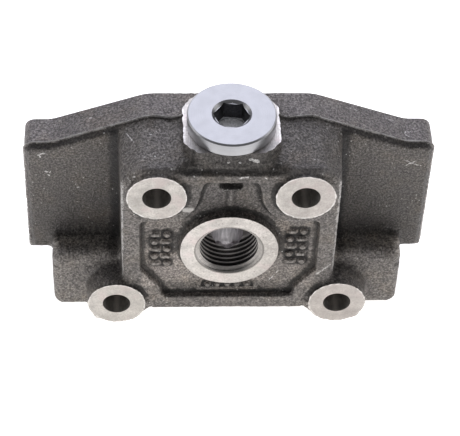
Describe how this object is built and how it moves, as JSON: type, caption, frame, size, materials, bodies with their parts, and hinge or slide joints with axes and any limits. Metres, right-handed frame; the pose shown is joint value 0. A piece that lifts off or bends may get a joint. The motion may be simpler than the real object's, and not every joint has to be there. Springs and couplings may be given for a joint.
{
  "type": "hydraulic valve outlet section",
  "caption": "Cast iron end section of a stacked hydraulic valve: threaded outlet port, plugged top port, four tie-rod holes, flat mating face and two feet.",
  "frame": {"origin": "centre of the bounding box's bottom face, level with the undersides of the two feet", "axes": "+Z towards the plugged top port, -Y out of the outlet port, +Y out of the mating face, +X to the right seen from the outlet port"},
  "size_m": [0.1296, 0.031, 0.081],
  "materials": {
    "cast_iron": "as cast, with bare machined faces",
    "plug_steel": "zinc plated, satin",
    "seal_rubber": "matt"
  },
  "bodies": {
    "root": {"outlet_body": "cast_iron", "port_plug": "plug_steel", "plug_seal": "seal_rubber"}
  },
  "joints": []
}
